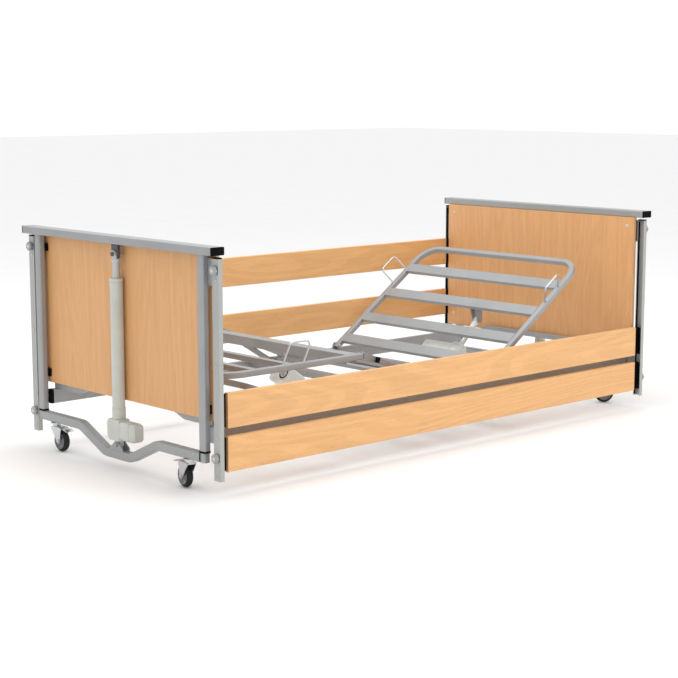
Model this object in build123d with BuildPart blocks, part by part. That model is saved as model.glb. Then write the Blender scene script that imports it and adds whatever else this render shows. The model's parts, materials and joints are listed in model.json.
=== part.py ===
from build123d import *
import os
from math import atan2, cos, degrees, hypot, radians, sin

# Adjustable hospital bed, in millimetres.  X runs from the foot end (-X) to the head end (+X),
# Y runs across the bed with the near side at -Y, and Z is up.  The origin is on the floor under
# the middle of the bed.  It is modelled at its lowest, with the backrest and the knee break part
# raised, the near side boards down and the far side boards up.

os.makedirs("parts", exist_ok=True)

ENDS = (("foot", -1), ("head", 1))
SIDES = (("near", -1), ("far", 1))

# ---------------------------------------------------------------- driving dimensions

BED_LENGTH = 2122
BED_WIDTH = 1040
BED_HEIGHT = 758

BAR_WIDTH = 50
BAR_HEIGHT = 25
CAP_THICKNESS = 4

POST_X = 1037.5
POST_Y = 448.5
POST_SIZE = (25, 31)
POST_BOTTOM = 133
LEG_SIZE = (20, 25)
LEG_BOTTOM = 97
LEG_TOP = 700

PANEL_INNER_X = 1001
PANEL_THICKNESS = 15
PANEL_HALF_WIDTH = 485
PANEL_BOTTOM = 224

CHANNEL_X = (1019, 1035)
CHANNEL_Y = (490, 520)
CHANNEL_Z = (47, 722)
CHANNEL_WALL = 2
KNOB_HEIGHTS = (("upper", 688), ("lower", 118))
KNOB_STEM_RADIUS = 4

BOARD_HEIGHT = 110
BOARD_THICKNESS = 16
BOARD_Y = 503
BOARD_HALF_LENGTH = 997
BOARD_BOTTOMS = (
    ("near_upper", -1, 205),
    ("near_lower", -1, 70),
    ("far_upper", 1, 478),
    ("far_lower", 1, 263),
)

RAIL_Y = 430
RAIL_SIZE = (24, 50)
RAIL_BOTTOM = 151
RAIL_HALF_LENGTH = 1016

LIFT_X = 1038.5
LIFT_TUBE_RADIUS = 21
LIFT_TUBE_Z = (203, 612)
LIFT_ROD_RADIUS = 12
LIFT_EYE_Z = 700
HOUSING_Z = (95, 165)

CROSS_TUBE_X = 1037
CROSS_TUBE_SIZE = 30
CROSS_TUBE_HIGH = 112
CROSS_TUBE_LOW = 47

CASTOR_X = 1037
CASTOR_Y = 372
CASTOR_TRAIL = 30
WHEEL_RADIUS = 37.5
AXLE_RADIUS = 4
PEDAL_PIVOT = (42, 80)
CASTORS = (
    ("foot_near", -1, -1, 81),
    ("foot_far", -1, 1, -90),
    ("head_near", 1, -1, 140),
    ("head_far", 1, 1, -150),
)

TUBE = 20
TUBE_WALL = 2
FRAME_Y = 400
SLAT_WIDTH = 45
SLAT_DEPTH = 14
PIN_RADIUS = 5
RUNNING_GAP = 0.05

BACKREST_HINGE = (285, 214)
BACKREST_SLOPE = 34.9
BACKREST_LENGTH = 615
BACKREST_BEND = 80
SLAT_EDGES = (503, 350, 197, 66)
PUSH_Y = -90

THIGH_HINGE = (0, 213)
THIGH_SLOPE = 21.8
THIGH_TUBE = 283
KNEE_REACH = 342.4
CALF_FOOT_X = -940
CALF_TUBE_END = -340
BAIL_PIVOT = (-493, 166)
BAIL_Y = 390

BACK_ACTUATOR_PIVOT = (280, 68)
BACK_FORK_PIVOT = (561, 342)
KNEE_ACTUATOR_PIVOT = (-150, 100)
KNEE_CLEVIS = (-385, 262)


# ---------------------------------------------------------------- helpers

def save(piece, label):
    """Label a finished sub-part and write its STEP file."""
    piece.part.label = label
    export_step(piece.part, f"parts/{label}.step")


def hollow_profile(width, height, corner, wall):
    """Rounded rectangular tube section, drawn in the sketch that is open."""
    RectangleRounded(width, height, corner)
    RectangleRounded(width - 2 * wall, height - 2 * wall, max(corner - wall, 0.6), mode=Mode.SUBTRACT)


def bent_tube(plane, points, bend, width=TUBE, height=TUBE, corner=3, wall=TUBE_WALL):
    """Hollow tube along a polyline in a plane, its corners turned into arcs of one radius."""
    with BuildPart() as tube:
        with BuildLine(plane) as route:
            if len(points) == 2:
                Line(*points)
            else:
                FilletPolyline(*points, radius=bend)
        start = Plane(origin=route.line @ 0, x_dir=plane.z_dir, z_dir=route.line % 0)
        with BuildSketch(start):
            hollow_profile(width, height, corner, wall)
        sweep(path=route.line)
    return tube.part


def bent_wire(plane, points, bend, radius):
    """Round wire along a polyline in a plane, with rounded corners."""
    with BuildPart() as wire:
        with BuildLine(plane) as route:
            FilletPolyline(*points, radius=bend)
        with BuildSketch(Plane(origin=route.line @ 0, z_dir=route.line % 0)):
            Circle(radius)
        sweep(path=route.line)
    return wire.part


def folded_slat(plane, half_length, width=SLAT_WIDTH, depth=SLAT_DEPTH, wall=2):
    """Sheet slat folded down at both long edges.  The plane's X runs across the slat, its Y is up
    out of the deck and its Z runs along the slat.  The plane's origin is on the top face."""
    with BuildPart() as slat:
        with BuildSketch(plane):
            with Locations((0, -depth / 2)):
                Rectangle(width, depth)
            with Locations((0, -depth / 2 - wall / 2)):
                Rectangle(width - 2 * wall, depth - wall, mode=Mode.SUBTRACT)
        extrude(amount=half_length, both=True)
    return slat.part


def deck_plane(hinge, slope, direction):
    """Plane of a deck section: its X runs away from the hinge, its Y across the bed."""
    x_dir = (direction * cos(radians(slope)), 0, sin(radians(slope)))
    z_dir = (-direction * sin(radians(slope)), 0, cos(radians(slope)))
    return Plane(origin=(hinge[0], 0, hinge[1]), x_dir=x_dir, z_dir=z_dir)


def side_plane(deck):
    """Plane of a deck section seen from the side: X along the section, Y out of its face."""
    return Plane(origin=deck.origin, x_dir=deck.x_dir, z_dir=deck.x_dir.cross(deck.z_dir))


# ---------------------------------------------------------------- end frames, upper part

bar_x = BED_LENGTH / 2 - BAR_WIDTH / 2
bar_bottom = BED_HEIGHT - BAR_HEIGHT
bar_half = BED_WIDTH / 2 - CAP_THICKNESS

for end, way in ENDS:
    with BuildPart() as top_bar:
        with BuildSketch(Plane.XZ):
            with Locations((way * bar_x, BED_HEIGHT - BAR_HEIGHT / 2)):
                hollow_profile(BAR_WIDTH, BAR_HEIGHT, 3, TUBE_WALL)
        extrude(amount=bar_half, both=True)
    save(top_bar, f"{end}_top_bar")

    with BuildPart() as panel:
        with Locations((way * (PANEL_INNER_X + PANEL_THICKNESS / 2), 0, (bar_bottom + PANEL_BOTTOM) / 2)):
            Box(PANEL_THICKNESS, 2 * PANEL_HALF_WIDTH, bar_bottom - PANEL_BOTTOM)
        chamfer(panel.edges().filter_by(Axis.Z), 1)
        chamfer(panel.faces().sort_by(Axis.Z)[0].edges().filter_by(Axis.Y), 1)
    save(panel, f"{end}_panel")

with BuildPart() as outer_posts:
    with BuildSketch(Plane.XY.offset(POST_BOTTOM)):
        with GridLocations(2 * POST_X, 2 * POST_Y, 2, 2):
            hollow_profile(*POST_SIZE, 7, TUBE_WALL)
    extrude(amount=bar_bottom - POST_BOTTOM)
save(outer_posts, "outer_posts")

# Black plastic: panel clips, top bar ends, post bushes, platform rail ends and channel tops.
clip_depth = POST_X - POST_SIZE[0] / 2 - PANEL_INNER_X - PANEL_THICKNESS
clip_x = PANEL_INNER_X + PANEL_THICKNESS + clip_depth / 2
clip_height = 26
cap_clearance = 0.2
bush_height = 6
with BuildPart() as plastic_fittings:
    for height in (676, 246):
        with BuildSketch(Plane.XY.offset(height)):
            with GridLocations(2 * clip_x, 2 * POST_Y - 10, 2, 2):
                Rectangle(clip_depth, 30)
        extrude(amount=clip_height)
    for _, across in SIDES:
        with BuildSketch(Plane.XZ.offset(-across * bar_half)):
            with GridLocations(2 * bar_x, 0, 2, 1):
                with Locations((0, BED_HEIGHT - BAR_HEIGHT / 2)):
                    RectangleRounded(BAR_WIDTH, BAR_HEIGHT, 3)
        extrude(amount=-across * CAP_THICKNESS)
        with BuildSketch(Plane.XZ.offset(-across * bar_half)):
            with GridLocations(2 * bar_x, 0, 2, 1):
                with Locations((0, BED_HEIGHT - BAR_HEIGHT / 2)):
                    plug_trim = 2 * (TUBE_WALL + cap_clearance)
                    RectangleRounded(BAR_WIDTH - plug_trim, BAR_HEIGHT - plug_trim, 1.2)
        extrude(amount=across * 10)
    with BuildSketch(Plane.XY.offset(POST_BOTTOM - bush_height)):
        with GridLocations(2 * POST_X, 2 * POST_Y, 2, 2):
            RectangleRounded(POST_SIZE[0] + 2, POST_SIZE[1] + 2, 8)
            Rectangle(LEG_SIZE[0] + 1, LEG_SIZE[1] + 1, mode=Mode.SUBTRACT)
    extrude(amount=bush_height)
    for _, way in ENDS:
        with BuildSketch(Plane.YZ.offset(way * RAIL_HALF_LENGTH)):
            with GridLocations(2 * RAIL_Y, 0, 2, 1):
                with Locations((0, RAIL_BOTTOM + RAIL_SIZE[1] / 2)):
                    RectangleRounded(*RAIL_SIZE, 4)
        extrude(amount=way * 7)
    with BuildSketch(Plane.XY.offset(CHANNEL_Z[1])):
        with GridLocations(sum(CHANNEL_X), sum(CHANNEL_Y), 2, 2):
            RectangleRounded(CHANNEL_X[1] - CHANNEL_X[0], CHANNEL_Y[1] - CHANNEL_Y[0], 2)
    extrude(amount=CAP_THICKNESS)
save(plastic_fittings, "plastic_fittings")

# ---------------------------------------------------------------- side board channels

with BuildPart() as rail_channels:
    for _, way in ENDS:
        with BuildSketch(Plane.XY.offset(CHANNEL_Z[0])):
            with GridLocations(0, sum(CHANNEL_Y), 1, 2):
                with Locations((way * sum(CHANNEL_X) / 2, 0)):
                    Rectangle(CHANNEL_X[1] - CHANNEL_X[0], CHANNEL_Y[1] - CHANNEL_Y[0])
                with Locations((way * (sum(CHANNEL_X) / 2 - CHANNEL_WALL), 0)):
                    Rectangle(
                        CHANNEL_X[1] - CHANNEL_X[0],
                        CHANNEL_Y[1] - CHANNEL_Y[0] - 2 * CHANNEL_WALL,
                        mode=Mode.SUBTRACT,
                    )
        extrude(amount=CHANNEL_Z[1] - CHANNEL_Z[0])
    with BuildSketch(Plane.YZ):
        for _, height in KNOB_HEIGHTS:
            with Locations((0, height)):
                with GridLocations(sum(CHANNEL_Y), 0, 2, 1):
                    Circle(KNOB_STEM_RADIUS + RUNNING_GAP)
    extrude(amount=CHANNEL_X[1] + 1, both=True, mode=Mode.SUBTRACT)
save(rail_channels, "rail_channels")

post_outer_y = POST_Y + POST_SIZE[1] / 2
with BuildPart() as rail_brackets:
    for low, high in ((640, 722), (160, 209)):
        with BuildSketch(Plane.XY.offset(low)):
            with GridLocations(2 * 1029, post_outer_y + CHANNEL_Y[0], 2, 2):
                Rectangle(4, CHANNEL_Y[0] - post_outer_y)
        extrude(amount=high - low)
save(rail_brackets, "rail_brackets")

knob_lobes = 7
for end, way in ENDS:
    for side, across in SIDES:
        for level, height in KNOB_HEIGHTS:
            seat = Plane(
                origin=(way * CHANNEL_X[1], across * sum(CHANNEL_Y) / 2, height),
                x_dir=(0, 1, 0),
                z_dir=(way, 0, 0),
            )
            with BuildPart() as knob:
                with BuildSketch(seat.offset(-CHANNEL_WALL)):
                    Circle(KNOB_STEM_RADIUS)
                extrude(amount=CHANNEL_WALL + 2)
                with BuildSketch(seat.offset(1)):
                    Circle(8)
                extrude(amount=3)
                with BuildSketch(seat.offset(4)):
                    Circle(15)
                    with PolarLocations(17.5, knob_lobes):
                        Circle(4.5, mode=Mode.SUBTRACT)
                extrude(amount=9)
                fillet(knob.faces().sort_by(Axis((0, 0, 0), (way, 0, 0)))[-1].edges(), 2)
            save(knob, f"knob_{end}_{side}_{level}")

# ---------------------------------------------------------------- side boards

for name, across, bottom in BOARD_BOTTOMS:
    with BuildPart() as board:
        with Locations((0, across * BOARD_Y, bottom + BOARD_HEIGHT / 2)):
            Box(2 * BOARD_HALF_LENGTH, BOARD_THICKNESS, BOARD_HEIGHT)
        fillet(board.edges().filter_by(Axis.X), 3)
    save(board, f"{name}_board")

    # A neck at each board end reaches into the channel, where a wider slider runs.
    with BuildPart() as guides:
        for _, way in ENDS:
            with BuildSketch(Plane.XY.offset(bottom + 4)):
                with Locations((way * (BOARD_HALF_LENGTH + 12), across * (BOARD_Y - 5))):
                    Rectangle(24, 5)
                with Locations((way * 1026, across * sum(CHANNEL_Y) / 2)):
                    Rectangle(11, 24)
            extrude(amount=BOARD_HEIGHT - 8)
    save(guides, f"{name}_guides")

# ---------------------------------------------------------------- base frames and lift actuators

leg_inner_y = POST_Y - LEG_SIZE[1] / 2
cross_route = (
    (-leg_inner_y, CROSS_TUBE_HIGH),
    (-213, CROSS_TUBE_HIGH),
    (-72, CROSS_TUBE_LOW),
    (72, CROSS_TUBE_LOW),
    (213, CROSS_TUBE_HIGH),
    (leg_inner_y, CROSS_TUBE_HIGH),
)
clevis_seat_z = CROSS_TUBE_LOW + CROSS_TUBE_SIZE / 2
clevis_bolt_z = 80
clevis_plate_x = 13
housing_half_depth = 22
sleeve_radius = 22.4
rod_bottom = 190
fork_half_depth = 12
blade_half_depth = 5

for end, way in ENDS:
    cross_plane = Plane(origin=(way * CROSS_TUBE_X, 0, 0), x_dir=(0, 1, 0), z_dir=(1, 0, 0))
    bent = bent_tube(cross_plane, cross_route, 60, CROSS_TUBE_SIZE, CROSS_TUBE_SIZE, 5, 2.5)
    # D-shaped plates stand on the low middle and carry the bolt under the actuator.
    with BuildPart() as cross_tube:
        add(bent)
        for inset in (-clevis_plate_x, clevis_plate_x):
            with BuildSketch(cross_plane.offset(inset)):
                with Locations((0, clevis_seat_z + 4)):
                    Rectangle(66, 10)
                with Locations((0, clevis_bolt_z)):
                    Circle(13)
                make_hull()
            extrude(amount=2, both=True)
        with BuildSketch(cross_plane):
            with Locations((0, clevis_bolt_z)):
                Circle(PIN_RADIUS)
        extrude(amount=clevis_plate_x + 3, both=True)
        for inset in (-clevis_plate_x - 4, clevis_plate_x + 4):
            with BuildSketch(cross_plane.offset(inset)):
                with Locations((0, clevis_bolt_z)):
                    RegularPolygon(8, 6)
            extrude(amount=2, both=True)
    save(cross_tube, f"{end}_cross_tube")

    with BuildPart() as inner_legs:
        with BuildSketch(Plane.XY.offset(LEG_BOTTOM)):
            with GridLocations(0, 2 * POST_Y, 1, 2):
                with Locations((way * POST_X, 0)):
                    hollow_profile(*LEG_SIZE, 3, TUBE_WALL)
        extrude(amount=LEG_TOP - LEG_BOTTOM)
    save(inner_legs, f"{end}_inner_legs")

    # Gear housing on the axis with the motor reaching towards -Y, and the sleeve above it.
    with BuildPart() as lift_housing:
        with BuildSketch(Plane.YZ.offset(way * LIFT_X)):
            with BuildLine():
                Polyline(
                    (40, 109),
                    (40, HOUSING_Z[1]),
                    (-44, HOUSING_Z[1]),
                    (-50, 159),
                    (-110, 159),
                    (-110, 105),
                    (-102, HOUSING_Z[0]),
                    (26, HOUSING_Z[0]),
                    close=True,
                )
            make_face()
        extrude(amount=housing_half_depth, both=True)
        outer_faces = lift_housing.faces().filter_by(Axis.X)
        chamfer(outer_faces.edges(), 3)
        with BuildSketch(Plane.YZ.offset(way * CROSS_TUBE_X)):
            with Locations((0, clevis_bolt_z + 10)):
                Rectangle(24, 20)
            with Locations((0, clevis_bolt_z)):
                Circle(12)
        extrude(amount=9, both=True)
        with BuildSketch(Plane.YZ.offset(way * CROSS_TUBE_X)):
            with Locations((0, clevis_bolt_z)):
                Circle(PIN_RADIUS + RUNNING_GAP)
        extrude(amount=9, both=True, mode=Mode.SUBTRACT)
        with BuildSketch(Plane.XY.offset(HOUSING_Z[1])):
            with Locations((way * LIFT_X, 0)):
                Circle(sleeve_radius)
        extrude(amount=LIFT_TUBE_Z[0] - HOUSING_Z[1])
        with BuildSketch(Plane.XY.offset(LIFT_TUBE_Z[0])):
            with Locations((way * LIFT_X, 0)):
                Circle(LIFT_ROD_RADIUS + 1)
        extrude(amount=rod_bottom - 10 - LIFT_TUBE_Z[0], mode=Mode.SUBTRACT)
    save(lift_housing, f"{end}_lift_housing")

    with BuildPart() as lift_tube:
        with BuildSketch(Plane.XY.offset(LIFT_TUBE_Z[0])):
            with Locations((way * LIFT_X, 0)):
                Circle(LIFT_TUBE_RADIUS)
                Circle(LIFT_TUBE_RADIUS - 2, mode=Mode.SUBTRACT)
        extrude(amount=LIFT_TUBE_Z[1] - LIFT_TUBE_Z[0])
        with BuildSketch(Plane.XY.offset(LIFT_TUBE_Z[1])):
            with Locations((way * LIFT_X, 0)):
                Circle(sleeve_radius)
                Circle(LIFT_ROD_RADIUS + 2 * RUNNING_GAP, mode=Mode.SUBTRACT)
        extrude(amount=10)
    save(lift_tube, f"{end}_lift_tube")

    with BuildPart() as lift_rod:
        with BuildSketch(Plane.XY.offset(rod_bottom)):
            with Locations((way * LIFT_X, 0)):
                Circle(LIFT_ROD_RADIUS)
        extrude(amount=LIFT_EYE_Z - rod_bottom)
        with BuildSketch(Plane.XY.offset(672)):
            with Locations((way * LIFT_X, 0)):
                Circle(14)
        extrude(amount=12)
        with BuildSketch(Plane.YZ.offset(way * LIFT_X)):
            with Locations((0, LIFT_EYE_Z)):
                Circle(12)
        extrude(amount=fork_half_depth, both=True)
        with BuildSketch(Plane.YZ.offset(way * LIFT_X)):
            with Locations((0, LIFT_EYE_Z)):
                Rectangle(28, 28)
        extrude(amount=blade_half_depth + RUNNING_GAP, both=True, mode=Mode.SUBTRACT)
        with BuildSketch(Plane.YZ.offset(way * LIFT_X)):
            with Locations((0, LIFT_EYE_Z)):
                Circle(PIN_RADIUS + RUNNING_GAP)
        extrude(amount=fork_half_depth + 1, both=True, mode=Mode.SUBTRACT)
    save(lift_rod, f"{end}_lift_rod")

# A blade under each top bar hangs between the cheeks of the rod's fork, with the pin through both.
blade_bottom = LIFT_EYE_Z - 12
with BuildPart() as lift_brackets:
    for _, way in ENDS:
        with BuildSketch(Plane.YZ.offset(way * LIFT_X)):
            with Locations((0, (bar_bottom + blade_bottom) / 2)):
                RectangleRounded(34, bar_bottom - blade_bottom, 3)
        extrude(amount=blade_half_depth, both=True)
        with BuildSketch(Plane.YZ.offset(way * LIFT_X)):
            with Locations((0, LIFT_EYE_Z)):
                Circle(PIN_RADIUS)
        extrude(amount=fork_half_depth + 1, both=True)
        for inset in (-fork_half_depth - 2.1, fork_half_depth + 2.1):
            with BuildSketch(Plane.YZ.offset(way * LIFT_X + inset)):
                with Locations((0, LIFT_EYE_Z)):
                    RegularPolygon(8, 6)
            extrude(amount=2, both=True)
save(lift_brackets, "lift_brackets")

# ---------------------------------------------------------------- castors

axle_at = (CASTOR_TRAIL, WHEEL_RADIUS)
cheek_inner = 14
cheek_plate = 2.5
hub_half = 13.5
tyre_shoulder = 33
crown_z = 80

for name, way, across, heading in CASTORS:
    swivel = (way * CASTOR_X, across * CASTOR_Y, 0)
    trail = (cos(radians(heading)), sin(radians(heading)), 0)
    axle_dir = (sin(radians(heading)), -cos(radians(heading)), 0)
    ground = Plane(origin=swivel, x_dir=trail, z_dir=(0, 0, 1))
    upright = Plane(origin=swivel, x_dir=trail, z_dir=axle_dir)

    with BuildPart() as fork:
        with BuildSketch(ground.offset(crown_z - 1)):
            with Locations((8, 0)):
                Rectangle(38, 2 * cheek_inner + cheek_plate)
        extrude(amount=4)
        with BuildSketch(ground.offset(crown_z + 2)):
            Circle(13.5)
        extrude(amount=10.5)
        with BuildSketch(ground.offset(crown_z + 12)):
            Circle(20)
        extrude(amount=LEG_BOTTOM - crown_z - 12)
        for cheek in (-1, 1):
            with BuildSketch(upright.offset(cheek * (cheek_inner + cheek_plate / 2))):
                with Locations(axle_at):
                    Circle(9)
                with Locations(PEDAL_PIVOT, (-8, PEDAL_PIVOT[1])):
                    Circle(4)
                make_hull()
            extrude(amount=cheek_plate / 2, both=True)
        with BuildSketch(upright):
            with Locations(axle_at):
                Circle(AXLE_RADIUS)
        extrude(amount=cheek_inner + cheek_plate + 3, both=True)
        with BuildSketch(upright):
            with Locations(PEDAL_PIVOT):
                Circle(2)
        extrude(amount=cheek_inner + 1, both=True)
        for cheek in (-1, 1):
            with BuildSketch(upright.offset(cheek * (cheek_inner + cheek_plate + 1.5))):
                with Locations(axle_at):
                    RegularPolygon(6.5, 6)
            extrude(amount=1.5, both=True)
    save(fork, f"castor_{name}_fork")

    axle_point = upright.from_local_coords((*axle_at, 0))
    across_wheel = Plane(origin=axle_point, x_dir=axle_dir, z_dir=trail)
    with BuildPart() as wheel:
        with BuildSketch(across_wheel):
            with BuildLine():
                Polyline(
                    (-12, tyre_shoulder),
                    (-11, 28),
                    (-6, 26),
                    (-6, 12),
                    (-hub_half, 10),
                    (-hub_half, AXLE_RADIUS + RUNNING_GAP),
                    (hub_half, AXLE_RADIUS + RUNNING_GAP),
                    (hub_half, 10),
                    (6, 12),
                    (6, 26),
                    (11, 28),
                    (12, tyre_shoulder),
                )
                ThreePointArc((12, tyre_shoulder), (0, WHEEL_RADIUS), (-12, tyre_shoulder))
            make_face()
        revolve(axis=Axis(axle_point, axle_dir))
    save(wheel, f"castor_{name}_wheel")

    with BuildPart() as pedal:
        with BuildSketch(upright):
            with BuildLine():
                Polyline(
                    (PEDAL_PIVOT[0], 84),
                    (PEDAL_PIVOT[0] + 10, 83),
                    (72, 81),
                    (80, 76),
                    (78, 74),
                    (70, 78),
                    (PEDAL_PIVOT[0] + 6, 79),
                    (PEDAL_PIVOT[0], 77),
                    close=True,
                )
            make_face()
        extrude(amount=11, both=True)
        with BuildSketch(upright):
            with BuildLine():
                Polyline((60, 82), (72, 81), (80, 76), (78, 74), (70, 78), (60, 78.5), close=True)
            make_face()
        extrude(amount=16, both=True)
        with BuildSketch(upright):
            with Locations(PEDAL_PIVOT):
                Circle(4)
        extrude(amount=11, both=True)
        with BuildSketch(upright):
            with Locations(PEDAL_PIVOT):
                Circle(2 + RUNNING_GAP)
        extrude(amount=12, both=True, mode=Mode.SUBTRACT)
    save(pedal, f"castor_{name}_pedal")

# ---------------------------------------------------------------- platform

rail_inner_y = RAIL_Y - RAIL_SIZE[0] / 2
rail_top = RAIL_BOTTOM + RAIL_SIZE[1]
lug_thickness = 6
lug_radius = 12
boss_reach = 16

# Each rail carries corner brackets to the posts, hinge lugs with pins, and the bail's boss.
with BuildPart() as platform_rails:
    with BuildSketch(Plane.YZ):
        with GridLocations(2 * RAIL_Y, 0, 2, 1):
            with Locations((0, RAIL_BOTTOM + RAIL_SIZE[1] / 2)):
                hollow_profile(*RAIL_SIZE, 4, TUBE_WALL)
    extrude(amount=RAIL_HALF_LENGTH, both=True)
    bracket_x = (RAIL_HALF_LENGTH - 6, POST_X - POST_SIZE[0] / 2)
    with BuildSketch(Plane.XY.offset(RAIL_BOTTOM + 4)):
        with GridLocations(sum(bracket_x), 2 * (RAIL_Y + RAIL_SIZE[0] / 2 + 5), 2, 2):
            Rectangle(bracket_x[1] - bracket_x[0], 10)
    extrude(amount=RAIL_SIZE[1] - 8)
    for _, across in SIDES:
        lug_plane = Plane.XZ.offset(-across * rail_inner_y)
        for hinge in (BACKREST_HINGE, THIGH_HINGE):
            with BuildSketch(lug_plane):
                with Locations(hinge):
                    Circle(lug_radius)
                with Locations((hinge[0], rail_top - 18)):
                    Rectangle(2 * lug_radius + 8, 16)
                make_hull()
            extrude(amount=across * lug_thickness)
            with BuildSketch(lug_plane):
                with Locations(hinge):
                    Circle(PIN_RADIUS)
            extrude(amount=across * (rail_inner_y - FRAME_Y + TUBE / 2 + 2))
        with BuildSketch(lug_plane):
            with Locations(BAIL_PIVOT):
                Circle(10)
        extrude(amount=across * boss_reach)
        with BuildSketch(lug_plane):
            with Locations(BAIL_PIVOT):
                Circle(PIN_RADIUS)
        extrude(amount=across * (rail_inner_y - BAIL_Y + TUBE / 2 + 2))
save(platform_rails, "platform_rails")

bar_centre = rail_top + TUBE / 2
raised_centre = bar_centre + 22
crossbar_route = (
    (-RAIL_Y - 8, bar_centre),
    (-292, bar_centre),
    (-232, raised_centre),
    (232, raised_centre),
    (292, bar_centre),
    (RAIL_Y + 8, bar_centre),
)
crossbars = [
    bent_tube(Plane.YZ.offset(way * 989), crossbar_route, 40) for _, way in ENDS
]
seat_slats = [
    folded_slat(Plane(origin=(x, 0, rail_top + 12), x_dir=(1, 0, 0), z_dir=(0, -1, 0)), RAIL_Y, 48, 12)
    for x in (40, 140)
]
knee_member = folded_slat(
    Plane(origin=(-125, 0, rail_top), x_dir=(1, 0, 0), z_dir=(0, -1, 0)), rail_inner_y, 50, 20, 3
)
hinge_tube_z = BACKREST_HINGE[1] - 28
hinge_tube = bent_tube(
    Plane(origin=(BACKREST_HINGE[0], 0, hinge_tube_z), x_dir=(0, 1, 0), z_dir=(1, 0, 0)),
    ((-rail_inner_y + lug_thickness, 0), (rail_inner_y - lug_thickness, 0)),
    0,
)
hanger_gap = 25
hanger_plate = 4
with BuildPart() as deck_members:
    for member in (*crossbars, *seat_slats, knee_member, hinge_tube):
        add(member)
    hangers = (
        (PUSH_Y, BACK_ACTUATOR_PIVOT, (BACKREST_HINGE[0], hinge_tube_z - TUBE / 2 + 1)),
        (0, KNEE_ACTUATOR_PIVOT, (-136, rail_top - 4)),
    )
    for centre_y, pivot, top in hangers:
        for across in (-1, 1):
            plate_y = centre_y + across * (hanger_gap + hanger_plate / 2)
            with BuildSketch(Plane.XZ.offset(-plate_y)):
                with Locations(pivot):
                    Circle(13)
                with Locations((top[0], top[1] - 3)):
                    Rectangle(20, 6)
                make_hull()
            extrude(amount=hanger_plate / 2, both=True)
        with BuildSketch(Plane.XZ.offset(-centre_y)):
            with Locations(pivot):
                Circle(PIN_RADIUS)
        extrude(amount=hanger_gap + hanger_plate + 4, both=True)
save(deck_members, "deck_members")

# ---------------------------------------------------------------- backrest

back = deck_plane(BACKREST_HINGE, BACKREST_SLOPE, 1)
back_side = side_plane(back)
back_tube_end = -12
u_route = (
    (back_tube_end, -FRAME_Y),
    (BACKREST_LENGTH, -FRAME_Y),
    (BACKREST_LENGTH, FRAME_Y),
    (back_tube_end, FRAME_Y),
)
back_u = bent_tube(back, u_route, BACKREST_BEND)
with BuildPart() as backrest_frame:
    add(back_u)
    with BuildSketch(back_side):
        Circle(PIN_RADIUS + RUNNING_GAP)
    extrude(amount=BED_WIDTH / 2, both=True, mode=Mode.SUBTRACT)
save(backrest_frame, "backrest_frame")

slat_top = TUBE / 2
back_slats = [
    folded_slat(
        Plane(
            origin=back_side.from_local_coords((edge - SLAT_WIDTH / 2, slat_top, 0)),
            x_dir=back_side.x_dir,
            z_dir=back_side.z_dir,
        ),
        FRAME_Y - TUBE / 2,
    )
    for edge in SLAT_EDGES
]
fork_point = back_side.to_local_coords(Vector(BACK_FORK_PIVOT[0], 0, BACK_FORK_PIVOT[1]))
arm_slat_centre = SLAT_EDGES[1] - SLAT_WIDTH / 2
eye_half = 10
with BuildPart() as backrest_slats:
    for slat in back_slats:
        add(slat)
    for across in (-1, 1):
        with BuildSketch(back_side.offset(-PUSH_Y + across * (eye_half + 3))):
            with Locations((fork_point.X, fork_point.Y)):
                Circle(12)
            with Locations((arm_slat_centre, slat_top - 8)):
                Rectangle(SLAT_WIDTH - 5, 12)
            make_hull()
        extrude(amount=2, both=True)
    with BuildSketch(back_side.offset(-PUSH_Y)):
        with Locations((fork_point.X, fork_point.Y)):
            Circle(PIN_RADIUS)
    extrude(amount=eye_half + 8, both=True)
save(backrest_slats, "backrest_slats")

# Wire hoops that keep the mattress in place.
hoop_wire = 3
back_hoop_lean = degrees(atan2(30, 65))
with BuildPart() as backrest_hoops:
    for _, across in SIDES:
        foot = back.from_local_coords((424, across * FRAME_Y, TUBE / 2))
        lean = back.z_dir * cos(radians(back_hoop_lean)) + Vector(0, across, 0) * sin(radians(back_hoop_lean))
        hoop_plane = Plane(origin=foot, x_dir=back.x_dir, z_dir=back.x_dir.cross(lean))
        hoop = bent_wire(hoop_plane, ((-44, -4), (-44, 72), (44, 72), (44, -4)), 14, hoop_wire)
        add(hoop)
    split(bisect_by=back.offset(TUBE / 2), keep=Keep.TOP)
save(backrest_hoops, "backrest_hoops")

# ---------------------------------------------------------------- thigh and calf sections

thigh = deck_plane(THIGH_HINGE, THIGH_SLOPE, -1)
thigh_side = side_plane(thigh)
side_tubes = [
    bent_tube(thigh, ((-10, across * FRAME_Y), (THIGH_TUBE, across * FRAME_Y)), 0) for _, across in SIDES
]
tube_inner = FRAME_Y - TUBE / 2
knee_bar = bent_tube(thigh, ((266, -tube_inner), (266, tube_inner)), 0)
thigh_slat = folded_slat(
    Plane(
        origin=thigh_side.from_local_coords((140, slat_top, 0)),
        x_dir=thigh_side.x_dir,
        z_dir=thigh_side.z_dir,
    ),
    tube_inner,
)
knee_plate = 5
with BuildPart() as thigh_frame:
    for tube in (*side_tubes, knee_bar, thigh_slat):
        add(tube)
    for across in (-1, 1):
        with BuildSketch(thigh_side.offset(across * tube_inner)):
            with Locations((KNEE_REACH, 0), (THIGH_TUBE - 40, 0)):
                Circle(TUBE / 2)
            make_hull()
        extrude(amount=-across * knee_plate)
        with BuildSketch(thigh_side.offset(across * tube_inner)):
            with Locations((KNEE_REACH, 0)):
                Circle(4)
        extrude(amount=-across * (2 * knee_plate + 2))
    with BuildSketch(thigh_side):
        Circle(PIN_RADIUS + RUNNING_GAP)
    extrude(amount=BED_WIDTH / 2, both=True, mode=Mode.SUBTRACT)
save(thigh_frame, "thigh_frame")

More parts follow.
